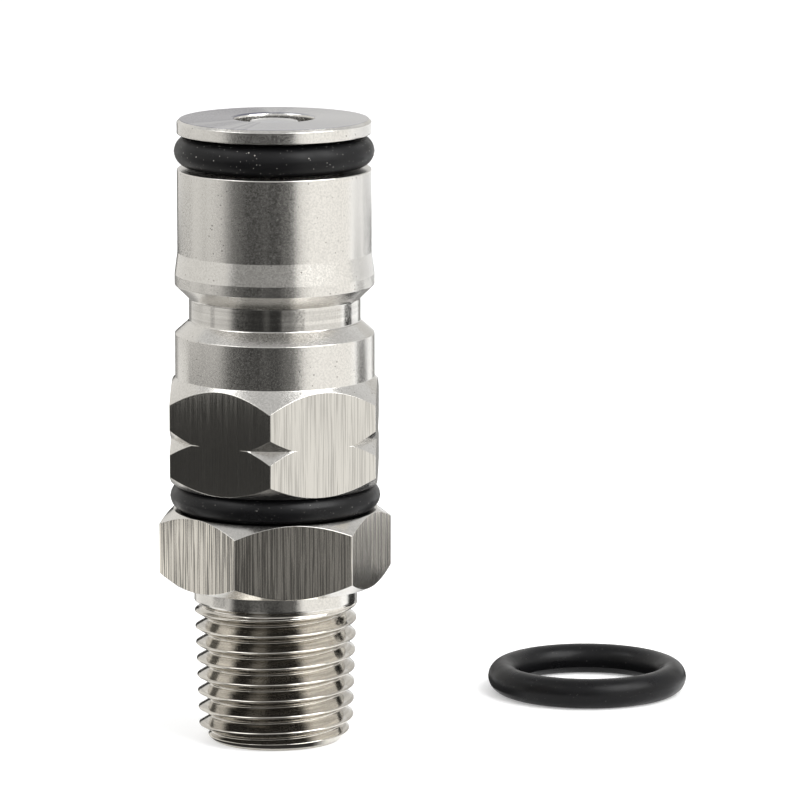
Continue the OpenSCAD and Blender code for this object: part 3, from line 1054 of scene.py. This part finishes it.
@dataclass
class Poppet:
    """The valve: stem, its rubber ring, the spring and the cage that holds it."""

    pin_r: float = 2.05
    pin_top_z: float = 53.55
    dome_h: float = 0.2
    flange_r: float = 4.36
    flange_z: float = 48.3232
    flange_top_z: float = 49.2232
    rod_r: float = 1.2
    rod_z: float = 36.18
    pin_pole_r: float = 0.02
    rod_pole_r: float = 0.05
    seal_mid_r: float = 3.28
    seal_section: float = 2.4
    seal_z: float = 50.4532
    wire_r: float = 0.35
    coil_r: float = 3.5
    coil_z: float = 37.81
    closed_pitch: float = 0.74
    open_pitch: float = 1.66065
    open_turns: float = 5.0
    closed_turns: float = 2.0
    steps_a_turn: int = 48
    wire_sides: int = 16
    coil_h: float = 10.4832
    travel: float = 3.2
    press_ease: float = 0.06
    press_angle: float = 35.0
    flat_angle: float = 0.5

    def build_stem(self, finish: bpy.types.Material) -> bpy.types.Object:
        """Builds pin, flange and rod in one.

        Args:
            finish: the steel.

        Returns:
            The piece, riding on its body.
        """
        steps, columns, blend, rod_ease = 8, 96, 0.01, 0.2
        dome_r = (self.pin_r ** 2 + self.dome_h ** 2) / (2 * self.dome_h)
        reach = math.asin(self.pin_r / dome_r)
        dome = [Corner(dome_r * math.sin(a), self.pin_top_z - dome_r * (1 - math.cos(a)), blend)
                for a in (reach * i / steps for i in range(steps - 1, 0, -1))]
        corners = [
            Corner(self.rod_pole_r, self.rod_z), Corner(self.rod_r, self.rod_z, rod_ease),
            Corner(self.rod_r, self.flange_z, BROKEN), Corner(self.flange_r, self.flange_z, BROKEN),
            Corner(self.flange_r, self.flange_top_z, BROKEN), Corner(self.pin_r, self.flange_top_z, CRISP),
            Corner(self.pin_r, self.pin_top_z - self.dome_h, EASED), *dome,
            Corner(self.pin_pole_r, self.pin_top_z)]
        shell = Shell()
        low, high = shell.band(round_columns(columns), lambda _r: eased(corners))
        for ring in (low, high):
            shell.mesh.faces.new(ring)
        made = shell.finish("stem_turned", [finish])
        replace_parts(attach(made, "poppet"), "poppet_stem")
        return made

    def build_seal(self, finish: bpy.types.Material) -> bpy.types.Object:
        """Builds the rubber ring that closes the seat.

        Args:
            finish: the rubber.

        Returns:
            The piece, riding on its body.
        """
        made = rubber_ring("stem_seal", self.seal_mid_r, self.seal_section, self.seal_z, finish)
        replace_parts(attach(made, "poppet"), "poppet_seal")
        return made

    def build_spring(self, finish: bpy.types.Material) -> bpy.types.Object:
        """Winds the spring with Geometry Nodes.

        Args:
            finish: the wire's steel.

        Returns:
            The piece, riding on its body.
        """
        grown = GrownMesh("spring")
        radius, wire, bottom = (grown.size(n) for n in ("Coil radius", "Wire radius", "Bottom"))
        closed, opened, middle = (grown.size(n) for n in ("Closed pitch", "Open pitch", "Open turns"))
        steps = grown.size("Steps", "NodeSocketInt")
        line = grown.take("GeometryNodeCurvePrimitiveLine", {"Start": (0, 0, 0), "End": (0, 0, 1)})
        points = grown.take("GeometryNodeResampleCurve", {"Curve": line, "Count": steps})
        share = grown.node("GeometryNodeSplineParameter").outputs["Factor"]
        turns = grown.math("MULTIPLY", share, grown.math("ADD", middle, self.closed_turns))
        first = grown.math("MINIMUM", turns, 1.0)
        rest = grown.math("SUBTRACT", turns, 1.0)
        between = grown.math("MAXIMUM", 0.0, grown.math("MINIMUM", rest, middle))
        last = grown.math("MAXIMUM", 0.0, grown.math("SUBTRACT", rest, middle))
        rise = grown.math("ADD", grown.math("MULTIPLY", closed, grown.math("ADD", first, last)),
                          grown.math("MULTIPLY", opened, between))
        angle = grown.math("MULTIPLY", turns, 2 * math.pi)
        spot = grown.on_circle(radius, angle, grown.math("ADD", grown.math("ADD", bottom, wire), rise))
        coil = grown.take("GeometryNodeSetPosition", {"Geometry": points, "Position": spot})
        section = grown.take("GeometryNodeCurvePrimitiveCircle", {
            "Resolution": self.wire_sides, "Radius": wire})
        grown.close(grown.take("GeometryNodeCurveToMesh", {
            "Curve": coil, "Profile Curve": section, "Fill Caps": True}))
        all_turns = int(self.open_turns + self.closed_turns)
        mesh = grown.bake({
            "Finish": finish, "Coil radius": self.coil_r * MM, "Wire radius": self.wire_r * MM,
            "Bottom": self.coil_z * MM, "Closed pitch": self.closed_pitch * MM,
            "Open pitch": self.open_pitch * MM, "Open turns": self.open_turns,
            "Steps": all_turns * self.steps_a_turn + 1})
        mesh.shade_smooth()
        made = piece("spring_wire", mesh, [])
        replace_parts(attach(made, "post"), "poppet_spring")
        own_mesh(made)
        return made

    def build_cage(self, finish: bpy.types.Material) -> bpy.types.Object:
        """Eases the edges of the pressed cage.

        Args:
            finish: the sheet steel.

        Returns:
            The piece, riding on its body.
        """
        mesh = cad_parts["poppet_cage"].data.copy()
        welded = bmesh.new()
        welded.from_mesh(mesh)
        bmesh.ops.remove_doubles(welded, verts=welded.verts, dist=WELD * MM)
        bmesh.ops.dissolve_limit(welded, angle_limit=math.radians(self.flat_angle),
                                 verts=welded.verts, edges=welded.edges)
        welded.to_mesh(mesh)
        welded.free()
        mesh.name = "cage_pressed"
        made = piece("cage_pressed", mesh, [finish])
        bevel = made.modifiers.new("ease", "BEVEL")
        bevel.width = self.press_ease * MM
        bevel.segments = 2
        bevel.limit_method = "ANGLE"
        bevel.angle_limit = math.radians(self.press_angle)
        mesh.shade_smooth()
        mesh.set_sharp_from_angle(angle=math.radians(self.press_angle))
        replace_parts(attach(made, "post"), "poppet_cage")
        return made


def rubber_ring(name: str, mid_r: float, section: float, z: float, finish: bpy.types.Material,
                flat: float = 0.0, center: Point = (0.0, 0.0)) -> bpy.types.Object:
    """Builds a moulded ring with the thin line that its mould leaves.

    Args:
        name: the piece's name.
        mid_r: the radius of its middle line.
        section: its height.
        z: the height of its middle.
        finish: the rubber.
        flat: half the width of its flat top and bottom where it is squeezed.
        center: where its axis stands.

    Returns:
        The piece.
    """
    columns, sides, line_h, line_w = 160, 64, 0.018, 0.045
    profile = []
    for i in range(sides):
        a = 2 * math.pi * i / sides
        off = abs(math.sin(a)) * section / 2
        ridge = line_h * math.exp(-(off / line_w) ** 2)
        r = (section / 2 + ridge) * math.cos(a) + math.copysign(flat, math.cos(a))
        profile.append((mid_r + r, z + section / 2 * math.sin(a)))
    shell = Shell()
    shell.band(round_columns(columns), lambda _r: profile, closed=True, center=center)
    return shell.finish(name, [finish])


# Studio


@dataclass(frozen=True)
class Card:
    """A soft-edged card that only the metal sees.

    Each row is a radius and a height in metres, and the two azimuths between which the
    card lies there, in degrees from the camera's side to the right. The softness is the
    share of the card over which it fades out, at its sides and at its two ends.
    """

    name: str
    rows: tuple[Row, ...]
    shade: float
    side_soft: float = 0.12
    end_soft: float = 0.05
    color: Color = (1.0, 0.985, 0.955)
    steps: int = 32

    def place(self) -> None:
        """Puts the card in the scene, hidden from all rays but glossy ones."""
        verts, faces, count = [], [], len(self.rows)
        for i in range(self.steps + 1):
            for radius, height, start, end in self.rows:
                a = math.radians(start + (end - start) * i / self.steps - 90)
                verts.append((radius * math.cos(a), radius * math.sin(a), height))
        for i in range(self.steps):
            faces += [(i * count + k, i * count + k + 1, (i + 1) * count + k + 1, (i + 1) * count + k)
                      for k in range(count - 1)]
        mesh = bpy.data.meshes.new(self.name)
        mesh.from_pydata(verts, [], faces)
        spread = mesh.uv_layers.new(name="spread")
        for loop in mesh.loops:
            column, row = divmod(loop.vertex_index, count)
            spread.data[loop.index].uv = (column / self.steps, row / (count - 1))
        card = piece(self.name, mesh, [self.material()])
        card.visible_camera = card.visible_diffuse = card.visible_shadow = False
        card.visible_transmission = card.visible_volume_scatter = False

    def material(self) -> bpy.types.Material:
        """Builds a glow that fades out towards the card's edges.

        Returns:
            Its node material.
        """
        made = bpy.data.materials.new(self.name)
        made.use_nodes = True
        graph = Graph(made.node_tree)
        made.node_tree.nodes.clear()
        spread = graph.node("ShaderNodeTexCoord").outputs["UV"]
        across, along, _ = graph.node("ShaderNodeSeparateXYZ", {0: spread}).outputs
        cover = graph.math("MULTIPLY", self.fade(graph, across, self.side_soft),
                           self.fade(graph, along, self.end_soft))
        glow = graph.take("ShaderNodeEmission", {"Color": (*self.color, 1.0), "Strength": self.shade})
        clear = graph.take("ShaderNodeBsdfTransparent")
        mixed = graph.take("ShaderNodeMixShader", {0: cover, 1: clear, 2: glow})
        graph.node("ShaderNodeOutputMaterial", {"Surface": mixed})
        return made

    def fade(self, graph: Graph, share: Socket, soft: float) -> Socket:
        """Gives how much of the card is left along one of its directions.

        Args:
            graph: the tree.
            share: where a point is in that direction, from 0 to 1.
            soft: the share over which the card fades out at either side.

        Returns:
            1 in the middle and 0 at both sides.
        """
        inward = graph.math("SUBTRACT", 0.5, graph.math("ABSOLUTE", graph.math("SUBTRACT", share, 0.5)))
        return graph.take("ShaderNodeMapRange", {0: inward, 1: 0.0, 2: soft},
                          interpolation_type="SMOOTHSTEP")


@dataclass(frozen=True)
class Lamp:
    """A soft square lamp that points at the object, in degrees, metres and watts.

    The azimuth is from the camera's side to the right.
    """

    name: str
    azimuth: float
    elevation: float
    distance: float
    power: float
    side: float = 0.5
    target: tuple[float, float, float] = (0.0, 0.0, 0.03)

    def hang(self) -> None:
        """Puts the lamp in the scene."""
        data = bpy.data.lights.new(self.name, "AREA")
        data.shape = "RECTANGLE"
        data.size, data.size_y, data.energy = self.side, self.side, self.power
        a, e = math.radians(self.azimuth - 90), math.radians(self.elevation)
        away = Vector((math.cos(a) * math.cos(e), math.sin(a) * math.cos(e), math.sin(e)))
        target = Vector(self.target)
        point_at(self.name, data, target + self.distance * away, target).visible_camera = False


def point_at(name: str, data: bpy.types.ID, place: Vector, target: Vector) -> bpy.types.Object:
    """Puts a lamp or a camera in the scene, turned to a target.

    Args:
        name: its name.
        data: the lamp or the camera.
        place: where it stands.
        target: what it points at.

    Returns:
        Its object.
    """
    made = bpy.data.objects.new(name, data)
    made.location = place
    made.rotation_euler = (target - place).to_track_quat("-Z", "Y").to_euler()
    bpy.context.scene.collection.objects.link(made)
    return made


@dataclass
class Studio:
    """Camera, floor, lamps and background, in metres."""

    eye: tuple[float, float, float] = (0.0, -0.51254, 0.11712)
    aim: tuple[float, float, float] = (0.01066, 0.0, 0.02935)
    lens: float = 274.3
    sensor: float = 36.0
    near: float = 0.01
    far: float = 20.0
    floor_size: float = 6.0
    floor_color: Color = (0.8, 0.8, 0.8)
    floor_roughness: float = 0.9
    floor_gloss: float = 0.1
    floor_lift: float = 0.3
    world_light: float = 0.75
    world_top: float = 0.7
    world_span: Span = (0.25, 0.8)
    lamps: tuple[Lamp, ...] = (Lamp("key", azimuth=55.0, elevation=40.0, distance=0.6, power=4.0),
                               Lamp("fill", azimuth=-70.0, elevation=40.0, distance=0.7, power=2.0))

    def place_camera(self) -> None:
        """Sets the camera at the photograph's viewpoint."""
        data = bpy.data.cameras.new("camera")
        data.lens, data.sensor_width = self.lens, self.sensor
        data.clip_start, data.clip_end = self.near, self.far
        bpy.context.scene.camera = point_at("camera", data, Vector(self.eye), Vector(self.aim))

    def seen_share(self, graph: Graph) -> Socket:
        """Tells the rays that see the background, directly or in metal, from the others.

        Args:
            graph: the tree.

        Returns:
            1 for those rays and 0 for the others.
        """
        path = graph.node("ShaderNodeLightPath").outputs
        return graph.math("MAXIMUM", path["Is Camera Ray"],
                          graph.math("MAXIMUM", path["Is Glossy Ray"], path["Is Transmission Ray"]))

    def lay_floor(self) -> None:
        """Lays the plain pale floor."""
        half = self.floor_size / 2
        corners = [(-half, -half, 0), (half, -half, 0), (half, half, 0), (-half, half, 0)]
        mesh = bpy.data.meshes.new("floor")
        mesh.from_pydata(corners, [], [(0, 1, 2, 3)])
        made, graph, shader = blank_material("floor_paper", self.floor_color)
        graph.feed(shader, {
            "Roughness": self.floor_roughness, "Specular IOR Level": self.floor_gloss,
            "Emission Color": (1.0, 1.0, 1.0, 1.0),
            "Emission Strength": graph.math("MULTIPLY", self.seen_share(graph), self.floor_lift)})
        piece("floor", mesh, [made])

    def light_world(self) -> None:
        """Gives the world a white that the camera and the metal see, and a softer light."""
        world = bpy.data.worlds.new("studio")
        bpy.context.scene.world = world
        world.use_nodes = True
        graph = Graph(world.node_tree)
        back = next(n for n in world.node_tree.nodes if n.type == "BACKGROUND")
        way = graph.node("ShaderNodeTexCoord").outputs["Generated"]
        up = graph.node("ShaderNodeSeparateXYZ", {0: way}).outputs[2]
        sky = graph.ramp(up, self.world_span, 1.0, self.world_top)
        lift = graph.math("MULTIPLY", self.seen_share(graph), graph.math("SUBTRACT", sky, self.world_light))
        graph.feed(back, {"Color": (1.0, 1.0, 1.0, 1.0),
                          "Strength": graph.math("ADD", self.world_light, lift)})

    def cards(self) -> list[Card]:
        """Lists the cards, each at a height of its own where it crosses others.

        Returns:
            The cards, from the front by the left and the right to the back.
        """
        return [
            Card("card_front", (
                (0.0044, 0.0001, -86, 52), (0.009, 0.0005, -86, 52), (0.034, 0.0005, -76, 48),
                (0.075, 0.0005, -72, 37), (0.13, 0.0005, -78, 36), (0.17, 0.0005, -72, 36),
                (0.25, 0.0005, -67, 35), (0.3, 0.0005, -65, 34), (0.303, 0.05, -65, 34)),
                shade=0.045, side_soft=0.16, end_soft=0.04),
            Card("card_front_near", (
                (0.008, 0.0006, -48, -6), (0.062, 0.0006, -40, -6)), shade=0.28, side_soft=0.45),
            Card("card_front_mid", (
                (0.0715, 0.0008, -66, 30), (0.115, 0.0008, -66, 30)),
                shade=0.22, side_soft=0.2, end_soft=0.1),
            Card("card_front_line", (
                (0.19, 0.0006, -18, -4), (0.302, 0.0006, -18, -4)),
                shade=0.13, side_soft=0.5, end_soft=0.1),
            Card("card_front_fade", (
                (0.265, 0.00065, -84, -28), (0.2985, 0.00065, -84, -28), (0.299, 0.0125, -84, -28)),
                shade=0.5, side_soft=0.5, end_soft=0.06),
            Card("card_front_edge", (
                (0.21, 0.00075, 7, 42), (0.268, 0.00075, 7, 42)), shade=0.4, end_soft=0.12),
            Card("card_front_high", (
                (0.305, 0.02, -60, 34), (0.305, 0.14, -60, 34)), shade=0.3, side_soft=0.16, end_soft=0.4),
            Card("card_front_right", (
                (0.03, 0.0007, 2, 40), (0.075, 0.0007, 2, 36), (0.3, 0.0007, 2, 34)),
                shade=0.13, side_soft=0.4),
            Card("card_left_near", (
                (0.012, 0.0006, -150, -98), (0.056, 0.0006, -130, -100)),
                shade=0.2, side_soft=0.2, end_soft=0.1),
            Card("card_left_dark", (
                (0.108, 0.0006, -128, -50), (0.197, 0.0006, -120, -50)), shade=0.055, end_soft=0.06),
            Card("card_left_grey", (
                (0.056, 0.0006, -100, -64), (0.1, 0.0006, -100, -64)),
                shade=0.42, side_soft=0.3, end_soft=0.15),
            Card("card_left", (
                (0.02, 0.0003, -165, -50), (0.2, 0.0003, -165, -50), (0.215, 0.0003, -165, -50)),
                shade=1.05, side_soft=0.08),
            Card("card_left_far", (
                (0.195, 0.0004, -165, -50), (0.303, 0.0004, -165, -50), (0.304, 0.3, -165, -50)),
                shade=0.93, side_soft=0.08, end_soft=0.1),
            Card("card_left_line", (
                (0.15, 0.0009, -97, -85), (0.3, 0.0009, -97, -85)),
                shade=0.55, side_soft=0.5, end_soft=0.1),
            Card("card_right", (
                (0.025, 0.0003, 30, 105), (0.075, 0.0003, 20, 105), (0.3, 0.0003, 20, 105),
                (0.302, 0.15, 20, 105)), shade=1.25),
            Card("card_side_inner", (
                (0.012, 0.0007, 118, 162), (0.066, 0.0007, 114, 152), (0.078, 0.0007, 122, 139),
                (0.11, 0.0007, 119, 133)), shade=0.03, side_soft=0.2, end_soft=0.1),
            Card("card_side_outer", (
                (0.108, 0.0007, 112, 139), (0.19, 0.0007, 103, 136), (0.222, 0.0007, 104, 127),
                (0.262, 0.0007, 104, 127)), shade=0.03, side_soft=0.22, end_soft=0.08),
            Card("card_back", (
                (0.03, 0.0006, 145, 215), (0.2, 0.0006, 145, 215), (0.26, 0.0006, 145, 215)),
                shade=0.35, side_soft=0.15),
            Card("card_back_sky", (
                (0.42, 0.04, 110, 250), (0.42, 0.22, 110, 250)), shade=0.76, side_soft=0.1, end_soft=0.1),
            Card("card_rim_right", (
                (0.27, 0.0009, 126, 186), (0.3, 0.0009, 126, 186), (0.33, 0.0009, 126, 186)),
                shade=0.07, side_soft=0.1, end_soft=0.15),
            Card("card_rim_left", (
                (0.25, 0.001, 174, 250), (0.4, 0.001, 174, 250), (0.402, 0.06, 174, 250)),
                shade=0.02, side_soft=0.1),
            Card("card_side_hex", (
                (0.074, 0.00076, 131, 158), (0.112, 0.00076, 131, 158)), shade=0.42, end_soft=0.15)]

    def build(self) -> None:
        """Builds the whole studio."""
        bpy.context.scene.view_settings.view_transform = "Standard"
        self.place_camera()
        self.lay_floor()
        self.light_world()
        for lamp in self.lamps:
            lamp.hang()
        for card in self.cards():
            card.place()


def main() -> None:
    """Builds the pieces and the studio."""
    logging.basicConfig(level=logging.INFO, format="%(name)s: %(message)s")
    bore = Lathe("steel_bore", roughness=0.22).material()
    post_steel = {
        Skin.SATIN: Lathe("post_satin", stretch=0.4, bands=0.01, band_scale=4.0, pits=0.6).material(),
        Skin.BRUSHED: Brushed("post_brushed", color=(0.58, 0.565, 0.53), roughness=0.08,
                              contrast=0.3, stretch=0.75).material(),
        Skin.GLOSSY: Lathe("post_glossy", roughness=0.1, stretch=0.3, grain=0.0004, bands=0.006,
                           streaks=0.25).material(),
        Skin.BORE: bore,
        # The faced top carries a painted reflection: a darker wedge painted into its colour
        Skin.FACED: Lathe("post_faced", color=(0.54, 0.54, 0.56), painted_reflection=(0.2, 0.2, 0.24)).material()}
    fitting_steel = {
        Skin.SATIN: Lathe("fitting_turned", roughness=0.14, stretch=0.3, grain=0.0006).material(),
        Skin.BRUSHED: Brushed("fitting_brushed", color=(0.8, 0.765, 0.7), contrast=0.66,
                              line_scale=9.0, line_span=(0.45, 0.54)).material(),
        Skin.GLOSSY: Lathe("fitting_thread", color=(0.67, 0.64, 0.585), roughness=0.1, stretch=0.2,
                           grain=0.0003, rings=0.001, streaks=0.3).material(),
        Skin.BORE: bore}
    tree = thread_tree()
    fitting, poppet = BulkheadFitting(), Poppet()
    pieces = [
        fitting.build(tree, fitting_steel),
        fitting.build_ring(Rubber("rubber_wiped", roughness=0.33, dust=0.3).material()),
        GasPost().build(tree, post_steel),
        *LooseRings().build(Rubber("rubber_dusty").material(),
                            Rubber("rubber_clean", roughness=0.33, dust=0.1).material()),
        poppet.build_stem(Lathe("steel_stem", color=(0.6, 0.6, 0.61)).material()),
        poppet.build_seal(Rubber("rubber_seal", dust=0.1).material()),
        poppet.build_spring(Lathe("steel_wire", roughness=0.25, stretch=0.0).material()),
        poppet.build_cage(Lathe("steel_sheet", roughness=0.3, stretch=0.0).material())]
    Studio().build()


if __name__ == "__main__":
    main()
